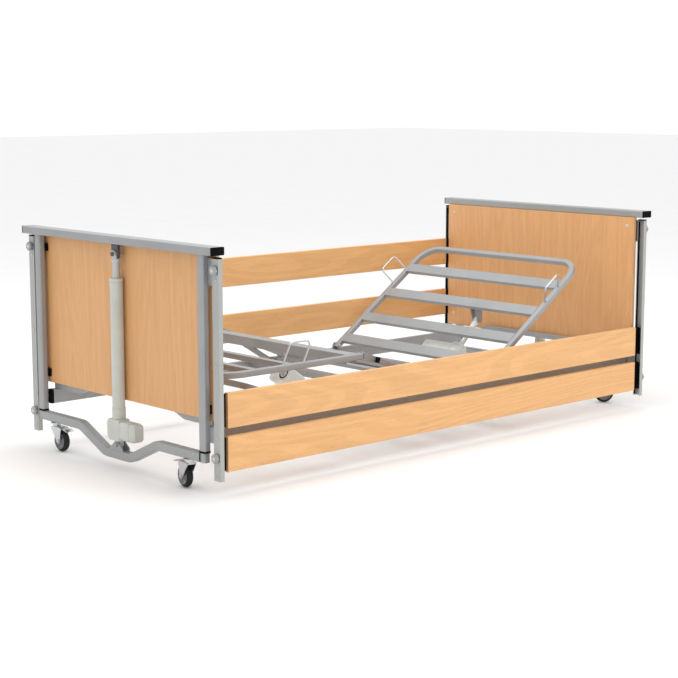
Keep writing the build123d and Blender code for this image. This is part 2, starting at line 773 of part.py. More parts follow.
knee_x = -KNEE_REACH * cos(radians(THIGH_SLOPE))
knee_z = THIGH_HINGE[1] + KNEE_REACH * sin(radians(THIGH_SLOPE))
calf = Plane(origin=(0, 0, knee_z), x_dir=(1, 0, 0), z_dir=(0, 0, 1))
calf_u = bent_tube(
    calf,
    (
        (CALF_TUBE_END, -FRAME_Y),
        (CALF_FOOT_X, -FRAME_Y),
        (CALF_FOOT_X, FRAME_Y),
        (CALF_TUBE_END, FRAME_Y),
    ),
    90,
)
calf_top = knee_z + TUBE / 2
calf_slats = [
    folded_slat(Plane(origin=(x, 0, calf_top), x_dir=(1, 0, 0), z_dir=(0, -1, 0)), tube_inner, 24, 18)
    for x in (-800, -650)
]
knee_channel_x = -378
knee_channel = folded_slat(
    Plane(origin=(knee_channel_x, 0, calf_top), x_dir=(1, 0, 0), z_dir=(0, -1, 0)), tube_inner, 46, 33, 3
)
plate_gap = 0.5
bail_top = (BAIL_PIVOT[0] - KNEE_REACH * cos(radians(THIGH_SLOPE)), BAIL_PIVOT[1] + knee_z - THIGH_HINGE[1])
with BuildPart() as calf_frame:
    for piece in (calf_u, *calf_slats, knee_channel):
        add(piece)
    for _, across in SIDES:
        # Knee plate inside the thigh's plate, with a spacer back to the calf tube.
        plate_plane = Plane.XZ.offset(-across * (tube_inner - knee_plate - plate_gap))
        with BuildSketch(plate_plane):
            with Locations((knee_x, knee_z), (-390, knee_z)):
                Circle(TUBE / 2)
            make_hull()
        extrude(amount=across * knee_plate)
        with BuildSketch(plate_plane):
            with Locations((-376, knee_z)):
                Rectangle(48, TUBE - 4)
        extrude(amount=-across * (knee_plate + plate_gap))
        with BuildSketch(plate_plane):
            with Locations((knee_x, knee_z)):
                Circle(4 + RUNNING_GAP)
        extrude(amount=across * (knee_plate + 1), mode=Mode.SUBTRACT)
        # Eye plate on the end slat, through which the support bail passes.
        with BuildSketch(Plane.XZ.offset(-across * 200)):
            with Locations(bail_top):
                Circle(23)
            with Locations((-800, calf_top - 8)):
                Rectangle(20, 10)
            make_hull()
            with Locations(bail_top):
                Circle(TUBE / 2 * 2**0.5 + 2, mode=Mode.SUBTRACT)
        extrude(amount=3, both=True)
        # Arm of the V under the knee channel.
        with BuildSketch(Plane.YZ.offset(KNEE_CLEVIS[0] - 3)):
            with BuildLine():
                Polyline(
                    (across * 11, 276),
                    (across * 40, 276),
                    (across * 190, 320),
                    (across * 190, calf_top - 2),
                    (across * 124, calf_top - 2),
                    (across * 124, 320),
                    (across * 30, 292),
                    (across * 11, 292),
                    close=True,
                )
            make_face()
        extrude(amount=6)
        with BuildSketch(Plane.XZ.offset(-across * (eye_half + 3.5))):
            with Locations(KNEE_CLEVIS):
                Circle(12)
            with Locations((KNEE_CLEVIS[0], 288)):
                Rectangle(24, 6)
            make_hull()
        extrude(amount=2.5, both=True)
    with BuildSketch(Plane.XZ):
        with Locations(KNEE_CLEVIS):
            Circle(PIN_RADIUS)
    extrude(amount=eye_half + 9, both=True)
save(calf_frame, "calf_frame")

calf_hoop_route = ((-46.5, -4), (-10.5, 68), (78.5, 68), (42.5, -4))
with BuildPart() as calf_hoops:
    for _, across in SIDES:
        hoop = bent_wire(
            Plane(origin=(-639.5, across * FRAME_Y, calf_top), x_dir=(1, 0, 0), z_dir=(0, -1, 0)),
            calf_hoop_route,
            14,
            hoop_wire,
        )
        add(hoop)
    split(bisect_by=Plane.XY.offset(calf_top), keep=Keep.TOP)
save(calf_hoops, "calf_hoops")

bail_plane = deck_plane(BAIL_PIVOT, THIGH_SLOPE, -1)
bail_u = bent_tube(
    bail_plane,
    ((-10, -BAIL_Y), (KNEE_REACH, -BAIL_Y), (KNEE_REACH, BAIL_Y), (-10, BAIL_Y)),
    70,
)
with BuildPart() as calf_bail:
    add(bail_u)
    with BuildSketch(side_plane(bail_plane)):
        Circle(PIN_RADIUS + RUNNING_GAP)
    extrude(amount=BED_WIDTH / 2, both=True, mode=Mode.SUBTRACT)
save(calf_bail, "calf_bail")

# ---------------------------------------------------------------- deck actuators

def ram_plane(pivot, target, centre_y):
    """Side view of a ram: X from its pivot to the point it pushes, Y out of its upper face."""
    length = hypot(target[0] - pivot[0], target[1] - pivot[1])
    x_dir = Vector((target[0] - pivot[0]) / length, 0, (target[1] - pivot[1]) / length)
    up = Vector(-x_dir.Z, 0, x_dir.X) if x_dir.X > 0 else Vector(x_dir.Z, 0, -x_dir.X)
    return Plane(origin=(pivot[0], centre_y, pivot[1]), x_dir=x_dir, z_dir=x_dir.cross(up)), length


def ram_body(side, tube_radius, bore_radius, mouth, gear, motor):
    """Fixed half of a ram: pivot bush, hollow tube, gear housing and a motor across it."""
    end_on = Plane(origin=side.origin, x_dir=side.y_dir, z_dir=side.x_dir)
    with BuildPart() as body:
        with BuildSketch(side):
            Circle(12)
        extrude(amount=hanger_gap - 1, both=True)
        with BuildSketch(end_on.offset(6)):
            Circle(tube_radius)
        extrude(amount=mouth - 6)
        with BuildSketch(end_on.offset(gear[0])):
            RectangleRounded(gear[2], gear[3], gear[4])
        extrude(amount=gear[1] - gear[0])
        with BuildSketch(side.offset(motor[0])):
            with Locations((sum(motor[2:4]) / 2, 0)):
                RectangleRounded(motor[3] - motor[2], motor[4], 10)
        extrude(amount=motor[1] - motor[0])
        with BuildSketch(end_on.offset(mouth)):
            Circle(bore_radius)
        extrude(amount=22 - mouth, mode=Mode.SUBTRACT)
        with BuildSketch(side):
            Circle(PIN_RADIUS + RUNNING_GAP)
        extrude(amount=hanger_gap, both=True, mode=Mode.SUBTRACT)
    return body


def ram_rod(side, length, rod_radius, rod_length):
    """Moving half of a ram: a rod that ends in an eye."""
    end_on = Plane(origin=side.origin, x_dir=side.y_dir, z_dir=side.x_dir)
    with BuildPart() as rod:
        with BuildSketch(end_on.offset(length)):
            Circle(rod_radius)
        extrude(amount=-rod_length)
        with BuildSketch(side):
            with Locations((length, 0)):
                Circle(11)
        extrude(amount=eye_half, both=True)
        with BuildSketch(side):
            with Locations((length, 0)):
                Circle(PIN_RADIUS + RUNNING_GAP)
        extrude(amount=eye_half + 1, both=True, mode=Mode.SUBTRACT)
    return rod


# Offsets of the motor run along the ram plane's Z, which points to -Y for the backrest ram and to
# +Y for the knee ram.
back_ram, back_length = ram_plane(BACK_ACTUATOR_PIVOT, BACK_FORK_PIVOT, PUSH_Y)
back_motor = ram_body(back_ram, 22, 19, 262, (215, 262, 60, 60, 29.9), (-165, -20, 216, 260, 48))
save(back_motor, "backrest_motor")
back_rod = ram_rod(back_ram, back_length, 9.8, 290)
save(back_rod, "backrest_rod")

knee_ram, knee_length = ram_plane(KNEE_ACTUATOR_PIVOT, KNEE_CLEVIS, 0)
knee_motor = ram_body(knee_ram, 20, 15, 228, (148, 228, 56, 60, 8), (20, 90, 152, 224, 50))
save(knee_motor, "knee_motor")
knee_rod = ram_rod(knee_ram, knee_length, 9, 145)
save(knee_rod, "knee_rod")
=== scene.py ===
import json
from math import cos, pi, radians, sin

import bmesh
import bpy
from mathutils import Matrix, Vector


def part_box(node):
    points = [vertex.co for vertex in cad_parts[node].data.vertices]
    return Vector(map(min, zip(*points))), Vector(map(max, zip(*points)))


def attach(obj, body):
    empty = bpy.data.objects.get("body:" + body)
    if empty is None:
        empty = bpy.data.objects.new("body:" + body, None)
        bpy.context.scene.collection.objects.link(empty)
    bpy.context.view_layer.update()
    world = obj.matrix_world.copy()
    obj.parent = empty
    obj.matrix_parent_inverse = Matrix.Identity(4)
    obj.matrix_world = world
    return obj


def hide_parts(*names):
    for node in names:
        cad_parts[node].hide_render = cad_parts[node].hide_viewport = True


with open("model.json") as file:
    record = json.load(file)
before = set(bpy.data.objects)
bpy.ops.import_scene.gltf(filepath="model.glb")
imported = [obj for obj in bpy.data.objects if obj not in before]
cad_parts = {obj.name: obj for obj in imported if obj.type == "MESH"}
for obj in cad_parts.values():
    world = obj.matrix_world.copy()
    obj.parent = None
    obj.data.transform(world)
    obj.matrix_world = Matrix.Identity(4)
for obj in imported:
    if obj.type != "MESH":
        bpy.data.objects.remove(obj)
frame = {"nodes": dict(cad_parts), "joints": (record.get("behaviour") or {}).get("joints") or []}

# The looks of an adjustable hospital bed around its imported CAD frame.  Sizes are in metres, or in
# millimetres where they are multiplied by MM or pass through mm().  X runs from the foot end to
# the head end and the near side is at -Y.

MM = 0.001
ENDS = (("foot", -1), ("head", 1))
SIDES = (("near", -1), ("far", 1))
LEVELS = ("upper", "lower")
ACROSS = (0, 1, 0)
UP = (0, 0, 1)
NODES = frame["nodes"]
JOINTS = {joint["name"]: joint for joint in frame["joints"]}
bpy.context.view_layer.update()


def hinge_point(name):
    """Where a joint's pivot is, in metres."""
    return Vector(JOINTS[name]["pos_m"])


def mm(points):
    """Pairs of millimetres, in metres."""
    return [(u * MM, v * MM) for u, v in points]


def mm_steps(steps):
    """(Distance, factor) steps with the distance taken from millimetres to metres."""
    return [(x * MM, factor) for x, factor in steps]


# ---------------------------------------------------------------- materials

EDGE_SAMPLES = 4


class Shader:
    """A node material that is built up one call at a time."""

    def __init__(self, name, roughness=0.5, metallic=0.0):
        self.material = bpy.data.materials.new(name)
        self.material.use_nodes = True
        self.tree = self.material.node_tree
        self.tree.nodes.clear()
        self.surface = self.node("ShaderNodeBsdfPrincipled", Roughness=roughness, Metallic=metallic)
        output = self.node("ShaderNodeOutputMaterial")
        self.join(self.surface, "BSDF", output, "Surface")
        self.coords = self.node("ShaderNodeTexCoord")

    def node(self, kind, **inputs):
        made = self.tree.nodes.new(kind)
        for name, value in inputs.items():
            made.inputs[name.replace("_", " ")].default_value = value
        return made

    def join(self, source, out_name, target, in_name):
        self.tree.links.new(source.outputs[out_name], target.inputs[in_name])

    def noise(self, scale, stretch=(1, 1, 1), detail=4.0, roughness=0.55):
        """Noise over object coordinates, squeezed by stretch."""
        squeeze = self.node("ShaderNodeMapping", Scale=stretch)
        self.join(self.coords, "Object", squeeze, "Vector")
        made = self.node("ShaderNodeTexNoise", Scale=scale, Detail=detail, Roughness=roughness)
        self.join(squeeze, "Vector", made, "Vector")
        return made

    def ramp(self, source, out_name, stops):
        """Colour ramp through (place, colour) stops."""
        made = self.node("ShaderNodeValToRGB")
        self.join(source, out_name, made, "Fac")
        points = made.color_ramp.elements
        while len(points) < len(stops):
            points.new(0.5)
        for point, (place, colour) in zip(points, stops):
            point.position = place
            point.color = (*colour, 1)
        return made

    def math(self, operation, source, out_name, value):
        made = self.node("ShaderNodeMath")
        made.operation = operation
        self.tree.links.new(source.outputs[out_name], made.inputs[0])
        made.inputs[1].default_value = value
        return made

    def mix(self, factor, low, high, blend="MIX", amount=None):
        """Mixes two colours, each an RGB triple or a (node, output) pair.

        The factor is a (node, output) pair, or None to use the amount.
        """
        made = self.tree.nodes.new("ShaderNodeMix")
        made.data_type = "RGBA"
        made.blend_type = blend
        if factor is None:
            made.inputs[0].default_value = amount
        else:
            self.tree.links.new(factor[0].outputs[factor[1]], made.inputs[0])
        for socket, value in ((made.inputs[6], low), (made.inputs[7], high)):
            if len(value) == 3:
                socket.default_value = (*value, 1)
            else:
                self.tree.links.new(value[0].outputs[value[1]], socket)
        return (made, 2)

    def colour(self, mixed):
        self.tree.links.new(mixed[0].outputs[mixed[1]], self.surface.inputs["Base Color"])

    def vary_roughness(self, source, out_name, low, high):
        spread = self.node("ShaderNodeMapRange", To_Min=low, To_Max=high)
        self.join(source, out_name, spread, "Value")
        self.join(spread, "Result", self.surface, "Roughness")

    def soft_edge(self, radius):
        """Normal that is rounded over edges by a radius."""
        soft = self.node("ShaderNodeBevel", Radius=radius)
        soft.samples = EDGE_SAMPLES
        return soft

    def bump(self, source, out_name, strength, distance, edge):
        """Surface relief, over edges softened by a radius."""
        relief = self.node("ShaderNodeBump", Strength=strength, Distance=distance)
        self.join(source, out_name, relief, "Height")
        self.join(self.soft_edge(edge), "Normal", relief, "Normal")
        self.join(relief, "Normal", self.surface, "Normal")

    def edges(self, radius, sharpness=9.0):
        """Mask that is 1 along sharp edges, for wear."""
        soft = self.soft_edge(radius)
        flat = self.node("ShaderNodeNewGeometry")
        dot = self.node("ShaderNodeVectorMath")
        dot.operation = "DOT_PRODUCT"
        self.tree.links.new(soft.outputs["Normal"], dot.inputs[0])
        self.tree.links.new(flat.outputs["Normal"], dot.inputs[1])
        away = self.node("ShaderNodeMath")
        away.operation = "SUBTRACT"
        away.inputs[0].default_value = 1.0
        self.tree.links.new(dot.outputs["Value"], away.inputs[1])
        sharp = self.math("MULTIPLY", away, "Value", sharpness)
        sharp.use_clamp = True
        return sharp


def powder_coat():
    """Silver-grey powder coat: faint orange peel, cloudy tone and paler rubbed edges."""
    edge = 0.0012
    s = Shader("powder_coat_silver", metallic=0.35)
    cloud = s.noise(6, detail=3)
    tone = s.ramp(cloud, "Fac", ((0.3, (0.325, 0.335, 0.34)), (0.7, (0.37, 0.38, 0.385))))
    speck = s.noise(1400, detail=1)
    grain = s.ramp(speck, "Fac", ((0.35, (0.86, 0.86, 0.86)), (0.65, (1, 1, 1))))
    speckled = s.mix(None, (tone, "Color"), (grain, "Color"), "MULTIPLY", 0.5)
    worn = s.edges(edge)
    s.colour(s.mix((worn, "Value"), speckled, (0.5, 0.51, 0.515)))
    s.vary_roughness(cloud, "Fac", 0.34, 0.5)
    s.bump(s.noise(650, detail=2), "Fac", 0.12, 0.0003, edge)
    return s.material


def laminate(name, grain_axis, colour, seed, figure_depth):
    """Beech laminate: fine straight streaks, a faint flame figure and short dark flecks."""
    s = Shader(name, roughness=0.42)
    hue_weights = (0.8, 1.0, 1.15)

    def along(squeeze):
        return {"X": (squeeze, 1, 1), "Z": (1, 1, squeeze)}[grain_axis]

    def shade(amount):
        return tuple(tint * (1 - amount * weight) for tint, weight in zip(colour, hue_weights))

    offset = (seed, seed * 0.7, seed * 1.3)
    placed = s.node("ShaderNodeMapping", Location=offset, Scale=along(0.12))
    s.join(s.coords, "Object", placed, "Vector")
    figure = s.node("ShaderNodeTexNoise", Scale=4.0, Detail=2.0, Roughness=0.45, Distortion=0.15)
    s.join(placed, "Vector", figure, "Vector")
    rings = s.math("MULTIPLY", figure, "Fac", 150.0)
    wave = s.math("SINE", rings, "Value", 0.0)
    lines = s.ramp(wave, "Value", ((0.0, shade(figure_depth)), (0.5, colour), (1.0, colour)))
    streak = s.noise(70, stretch=along(0.02), detail=5, roughness=0.75)
    tone = s.ramp(streak, "Fac", ((0.32, (0.93, 0.915, 0.90)), (0.66, (1.04, 1.04, 1.04))))
    toned = s.mix(None, (lines, "Color"), (tone, "Color"), "MULTIPLY", 1.0)
    fibre = s.noise(330, stretch=along(0.06), detail=3, roughness=0.7)
    flecks = s.ramp(fibre, "Fac", ((0.34, (0.74, 0.68, 0.62)), (0.46, (1, 1, 1))))
    s.colour(s.mix(None, toned, (flecks, "Color"), "MULTIPLY", 0.38))
    s.vary_roughness(fibre, "Fac", 0.5, 0.38)
    s.bump(fibre, "Fac", 0.08, 0.0002, 0.0015)
    return s.material


def moulded(name, low, high, roughness, grain=900, relief=0.15, specular=0.5):
    """Moulded plastic with a spark-eroded grain."""
    s = Shader(name, roughness=roughness)
    s.surface.inputs["Specular IOR Level"].default_value = specular
    cloud = s.noise(14, detail=3)
    tone = s.ramp(cloud, "Fac", ((0.3, low), (0.7, high)))
    s.colour((tone, "Color"))
    s.vary_roughness(cloud, "Fac", roughness - 0.06, roughness + 0.08)
    s.bump(s.noise(grain, detail=2), "Fac", relief, 0.0002, 0.001)
    return s.material


def plated(name, low, high, roughness, brushed=(1, 1, 1), metallic=1.0):
    """Plated or drawn metal with fine streaks."""
    s = Shader(name, roughness=roughness, metallic=metallic)
    streaks = s.noise(500, stretch=brushed, detail=4, roughness=0.65)
    tone = s.ramp(streaks, "Fac", ((0.3, low), (0.7, high)))
    s.colour((tone, "Color"))
    s.vary_roughness(streaks, "Fac", roughness - 0.07, roughness + 0.1)
    s.bump(streaks, "Fac", 0.06, 0.0001, 0.0006)
    return s.material


PAINT = powder_coat()
PANEL_WOOD = laminate("beech_upright", "Z", (0.71, 0.385, 0.165), 3.1, 0.05)
BOARD_WOOD = laminate("beech_lengthwise", "X", (0.79, 0.445, 0.187), 7.7, 0.07)
BLACK = moulded(
    "black_plastic", (0.004, 0.004, 0.0045), (0.008, 0.008, 0.009), 0.6, specular=0.04
)
CREAM = moulded("drive_housing_grey", (0.50, 0.515, 0.47), (0.57, 0.585, 0.54), 0.42)
WHITE = moulded("drive_housing_white", (0.70, 0.71, 0.68), (0.78, 0.79, 0.76), 0.4)
PALE = moulded("pale_plastic", (0.55, 0.55, 0.54), (0.66, 0.66, 0.65), 0.38)
KNOB = moulded("knob_grey", (0.30, 0.305, 0.305), (0.40, 0.405, 0.405), 0.3)
ZINC = plated("zinc_plate", (0.50, 0.51, 0.53), (0.66, 0.67, 0.69), 0.3)
ROD = plated(
    "drawn_rod", (0.46, 0.48, 0.46), (0.56, 0.58, 0.56), 0.34, brushed=(1, 1, 0.05), metallic=0.3
)
DARK_STEEL = moulded("dark_steel", (0.055, 0.058, 0.058), (0.085, 0.09, 0.09), 0.4)
ANODISED = plated(
    "anodised_channel", (0.36, 0.37, 0.355), (0.45, 0.46, 0.445), 0.42, brushed=(1, 1, 0.02),
    metallic=0.35,
)
RUBBER = moulded(
    "tyre_rubber", (0.008, 0.009, 0.009), (0.016, 0.017, 0.018), 0.5, grain=500, relief=0.3,
    specular=0.25,
)
HUB = moulded("hub_grey", (0.18, 0.185, 0.19), (0.24, 0.245, 0.25), 0.45)


def dress(material, *names):
    """Gives carried-over CAD nodes a material."""
    for name in names:
        for slot in NODES[name].material_slots:
            slot.material = material


# ---------------------------------------------------------------- mesh helpers

ROUNDED_ABOVE = radians(35)  # a bevelled piece's edges that turn more than this are rounded
CREASED_ABOVE = radians(38)  # a smooth piece's edges that turn more than this stay crisp
WELD_DISTANCE = 1e-6


def frame_of(origin, along, up):
    """Matrix whose local X is along and whose local Z is nearest to up."""
    x = Vector(along).normalized()
    y = Vector(up).cross(x).normalized()
    z = x.cross(y)
    matrix = Matrix((x, y, z)).transposed().to_4x4()
    matrix.translation = Vector(origin)
    return matrix


def finish_piece(name, mesh, place, material, body):
    """Sets a mesh in place as a smooth piece that rides a body."""
    mesh.transform(place)
    mesh.materials.append(material)
    for polygon in mesh.polygons:
        polygon.use_smooth = True
    piece = bpy.data.objects.new(name, mesh)
    bpy.context.scene.collection.objects.link(piece)
    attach(piece, body)
    return piece


def creased_piece(name, verts, faces, place, material, body, weld=False):
    """Smooth piece with crisp creases, its coinciding points merged if weld is set."""
    mesh = bpy.data.meshes.new(name)
    mesh.from_pydata(verts, [], faces)
    built = bmesh.new()
    built.from_mesh(mesh)
    if weld:
        bmesh.ops.remove_doubles(built, verts=built.verts, dist=WELD_DISTANCE)
    bmesh.ops.recalc_face_normals(built, faces=built.faces)
    built.to_mesh(mesh)
    built.free()
    piece = finish_piece(name, mesh, place, material, body)
    split = piece.modifiers.new("creases", "EDGE_SPLIT")
    split.split_angle = CREASED_ABOVE
    return piece


def lathe(name, profile, place, material, body, segments=48):
    """Turned piece: profile points are (distance along local X, radius)."""
    verts = []
    for step in range(segments):
        turn = 2 * pi * step / segments
        verts += [(x, r * cos(turn), r * sin(turn)) for x, r in profile]
    count = len(profile)
    faces = []
    for step in range(segments):
        here, there = step * count, (step + 1) % segments * count
        faces += [(here + i, here + i + 1, there + i + 1, there + i) for i in range(count - 1)]
    return creased_piece(name, verts, faces, place, material, body, weld=True)


def section_shell(name, steps, half_width, half_height, corner, place, material, body):
    """Drive cover: a rounded rectangle scaled along local X by (distance, factor) steps."""
    outline = rounded_outline(2 * half_width, 2 * half_height, corner, 8)
    count = len(outline)
    verts = [(x, k * u, k * v) for x, k in steps for u, v in outline]
    faces = []
    for row in range(len(steps) - 1):
        here, there = row * count, (row + 1) * count
        for i in range(count):
            j = (i + 1) % count
            faces.append((here + i, here + j, there + j, there + i))
    faces.append(tuple(reversed(range(count))))
    faces.append(tuple(range((len(steps) - 1) * count, len(steps) * count)))
    return creased_piece(name, verts, faces, place, material, body)


def prism(name, outline, half_depth, place, material, body, bevel=0.0015):
    """Plate or block: a closed outline in local X and Z, with a thickness along local Y."""
    built = bmesh.new()
    front = [built.verts.new((x, -half_depth, z)) for x, z in outline]
    back = [built.verts.new((x, half_depth, z)) for x, z in outline]
    built.faces.new(front)
    built.faces.new(reversed(back))
    for i in range(len(outline)):
        j = (i + 1) % len(outline)
        built.faces.new((front[j], front[i], back[i], back[j]))
    bmesh.ops.recalc_face_normals(built, faces=built.faces)
    mesh = bpy.data.meshes.new(name)
    built.to_mesh(mesh)
    built.free()
    piece = finish_piece(name, mesh, place, material, body)
    rounding = piece.modifiers.new("edges", "BEVEL")
    rounding.width = bevel
    rounding.segments = 3
    rounding.limit_method = "ANGLE"
    rounding.angle_limit = ROUNDED_ABOVE
    rounding.harden_normals = True
    return piece


def rounded_outline(width, height, radius, steps=6):
    """Rounded rectangle about the origin."""
    points = []
    for quarter, (sx, sz) in enumerate(((1, 1), (-1, 1), (-1, -1), (1, -1))):
        for step in range(steps + 1):
            turn = (quarter + step / steps) * pi / 2
            x = sx * (width / 2 - radius) + radius * cos(turn)
            z = sz * (height / 2 - radius) + radius * sin(turn)
            points.append((x, z))
    return points


def screw(name, place, radius, height, material, body, socket=True):
    """Domed head on local X, with or without a socket."""
    dome = [
        (0, 0), (0, radius), (height * 0.45, radius), (height * 0.85, radius * 0.8),
        (height, radius * 0.5),
    ]
    if socket:
        floor = height * 0.35
        dome += [(height, radius * 0.42), (floor, radius * 0.38), (floor, 0)]
    else:
        dome += [(height, 0)]
    return lathe(name, dome, place, material, body, segments=24)


# ---------------------------------------------------------------- carried-over frame

dress(
    PAINT,
    "foot_top_bar", "head_top_bar", "outer_posts", "rail_brackets", "platform_rails",
    "deck_members", "backrest_frame", "backrest_slats", "thigh_frame", "calf_frame", "calf_bail",
    "foot_cross_tube", "head_cross_tube", "foot_inner_legs", "head_inner_legs",
)
dress(ZINC, "backrest_hoops", "calf_hoops")
dress(DARK_STEEL, "lift_brackets")
dress(PANEL_WOOD, "foot_panel", "head_panel")
dress(ANODISED, "rail_channels")
dress(BLACK, "plastic_fittings")
dress(CREAM, "foot_lift_tube", "head_lift_tube")
dress(ROD, "foot_lift_rod", "head_lift_rod", "backrest_rod", "knee_rod")
for side, _ in SIDES:
    for level in LEVELS:
        dress(BOARD_WOOD, f"{side}_{level}_board")
        dress(BLACK, f"{side}_{level}_guides")
for end, _ in ENDS:
    for side, _ in SIDES:
        dress(ZINC, f"castor_{end}_{side}_fork", f"castor_{end}_{side}_pedal")
        for level in LEVELS:
            dress(KNOB, f"knob_{end}_{side}_{level}")


# ---------------------------------------------------------------- castor wheels

TREAD_RADIUS = 12 * MM
TREAD_CENTRE = 25.5 * MM
TREAD_ANGLES = [radians(degrees) for degrees in range(-78, 79, 12)]
BEAD = (10.5 * MM, 27 * MM)
HALF_HUB = mm((
    (13.4, 4.2), (13.4, 9), (12.6, 10), (7.5, 11), (5.5, 13), (5.5, 22), (7, 24), (10.8, 25),
    (11.2, 28.5),
))
SPOKES = 5
SPOKE = mm((
    (-6.2 * 1.35, 10.5), (-6.2 * 1.35, 25.5), (6.2 * 1.35, 25.5), (6.2 * 1.35, 10.5),
))


def castor_wheel(name):
    """Rubber tyre on a moulded hub, in place of one plain wheel."""
    wheel = f"castor_{name}_wheel"
    joint = JOINTS[f"castor_{name}_roll"]
    place = frame_of(joint["pos_m"], joint["axis"], UP)
    near_bead = (-BEAD[0], BEAD[1])
    crown = [(TREAD_RADIUS * sin(a), TREAD_CENTRE + TREAD_RADIUS * cos(a)) for a in TREAD_ANGLES]
    tyre = lathe(
        f"tyre_{name}", [near_bead, *crown, BEAD, near_bead], place, RUBBER, wheel,
        72,
    )
    other_half = [(-x, r) for x, r in reversed(HALF_HUB)]
    lathe(
        f"hub_{name}", [*HALF_HUB, *other_half, HALF_HUB[0]], place, HUB, wheel, 60
    )
    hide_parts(wheel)
    for spoke in range(SPOKES):
        turned = place @ Matrix.Rotation(2 * pi * spoke / SPOKES, 4, "X")
        prism(
            f"spoke_{name}_{spoke}", SPOKE, 2 * MM, turned, HUB, wheel, 0.6 * MM
        )


for end, _ in ENDS:
    for side, _ in SIDES:
        castor_wheel(f"{end}_{side}")

# ---------------------------------------------------------------- lift drives

CASE_HALF_DEPTH = 21.6 * MM
CASE_OUTLINE = mm((
    (38, 110), (38, 155), (29, 165), (-26, 165), (-28, 163), (-28, 95), (26, 95),
))
CASE_SCREWS = ((30, 104), (30, 152), (-34, 152), (-34, 103))
LIFT_MOTOR_START = (-27 * MM, 130.5 * MM)  # Y and Z
LIFT_MOTOR_STEPS = mm_steps((
    (0, 0.94), (3, 0.94), (3.3, 1), (52, 1), (52.4, 0.95), (56, 0.95), (56.4, 0.99), (66, 0.99),
    (74, 0.95), (80, 0.86), (83, 0.74),
))
SLEEVE = mm((
    (165, 0), (165, 20.5), (168, 22.2), (196, 22.2), (198, 21.6), (198.6, 21.6), (199, 22.2),
    (203, 22.2), (203.4, 21.1),
))
TUBE_RING = mm(((601, 21), (601.5, 21.9), (608, 21.9), (608.5, 21)))
LUG_X, LUG_Z = 1037 * MM, 84 * MM


def lift_drive(end, way):
    """Gear case, motor and sleeve of one lift drive, in place of its plain housing."""
    body = f"{end}_base"
    tube_low, tube_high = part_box(f"{end}_lift_tube")
    axis_x = (tube_low[0] + tube_high[0]) / 2
    case = prism(
        f"{end}_gear_case", CASE_OUTLINE, CASE_HALF_DEPTH, frame_of((axis_x, 0, 0), ACROSS, UP),
        CREAM, body, 5 * MM,
    )
    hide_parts(f"{end}_lift_housing")
    motor_place = frame_of((axis_x, *LIFT_MOTOR_START), (0, -1, 0), UP)
    section_shell(
        f"{end}_lift_motor", LIFT_MOTOR_STEPS, 21.8 * MM, 31 * MM, 11 * MM, motor_place, CREAM,
        body,
    )
    upward = frame_of((axis_x, 0, 0), UP, (1, 0, 0))
    lathe(f"{end}_sleeve", SLEEVE, upward, CREAM, body, 64)
    lathe(f"{end}_tube_ring", TUBE_RING, upward, CREAM, body, 64)
    prism(
        f"{end}_drive_lug", rounded_outline(22 * MM, 34 * MM, 9 * MM), 8.5 * MM,
        frame_of((way * LUG_X, 0, LUG_Z), ACROSS, UP), CREAM, body, 1 * MM,
    )
    for number, (y, z) in enumerate(CASE_SCREWS):
        spot = frame_of((axis_x + way * CASE_HALF_DEPTH, y * MM, z * MM), (way, 0, 0), UP)
        screw(f"{end}_case_screw_{number}", spot, 2.6 * MM, 0.3 * MM, ZINC, body)


for end, way in ENDS:
    lift_drive(end, way)

# ---------------------------------------------------------------- deck drives

BUSH = mm(((-22, 6), (-22, 11), (-20, 12), (20, 12), (22, 11), (22, 6)))
MOTOR_RIBS = 4


def deck_drive(node, tilt, push, tube_radius, bore, case, case_rounding, motor):
    """A ram's outer half: bush, stepped tube, gear case and a motor across it.

    The case is its start and stop along the ram and its half width; the motor is its start and
    stop across the bed and its half width.
    """
    pivot = hinge_point(tilt)
    target = hinge_point(push)
    target.y = pivot.y
    along = (target - pivot).normalized()
    up = Vector(ACROSS).cross(along)
    place = frame_of(pivot, along, up)
    start, stop, case_half = (value * MM for value in case)
    r = tube_radius * MM
    tube = [
        (8 * MM, 0), (8 * MM, r - 4 * MM), (11 * MM, r), (40 * MM, r), (40.5 * MM, r - 1 * MM),
        (43 * MM, r - 1 * MM), (43.5 * MM, r), (start, r), (start, 0),
    ]
    shell = lathe(f"{node}_tube", tube, place, WHITE, node, 56)
    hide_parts(node)
    lathe(
        f"{node}_bush", BUSH, frame_of(pivot, ACROSS, UP), WHITE, node, 40
    )
    steps = [
        (start, 0.90), (start + 3 * MM, 1), (stop - 15 * MM, 1), (stop - 14.6 * MM, 0.965),
        (stop - 12 * MM, 0.965), (stop - 11.6 * MM, 1), (stop - 3 * MM, 1), (stop, 0.93),
    ]
    section_shell(
        f"{node}_gear_case", steps, case_half, case_half, case_half * case_rounding, place, WHITE,
        node,
    )
    mouth = [
        (stop - 1 * MM, (bore + 6) * MM), (stop + 0.6 * MM, (bore + 4.5) * MM),
        (stop + 0.6 * MM, bore * MM), (stop - 6 * MM, bore * MM),
    ]
    lathe(f"{node}_wiper", mouth, place, BLACK, node, 48)
    near, far, half = (value * MM for value in motor)
    length = far - near
    middle = (start + stop) / 2
    root = pivot + along * middle + Vector((0, near, 0))
    ribs = [(0, 0.94), (3 * MM, 1)]
    for rib in range(MOTOR_RIBS):
        at = length * (0.25 + 0.12 * rib)
        ribs += [(at, 1), (at + 0.6 * MM, 0.95), (at + 3 * MM, 0.95), (at + 3.6 * MM, 1)]
    ribs += [(length - 8 * MM, 1), (length - 3 * MM, 0.94), (length, 0.8)]
    section_shell(
        f"{node}_motor", ribs, half * 0.92, half, half * 0.45, frame_of(root, ACROSS, up), WHITE,
        node,
    )


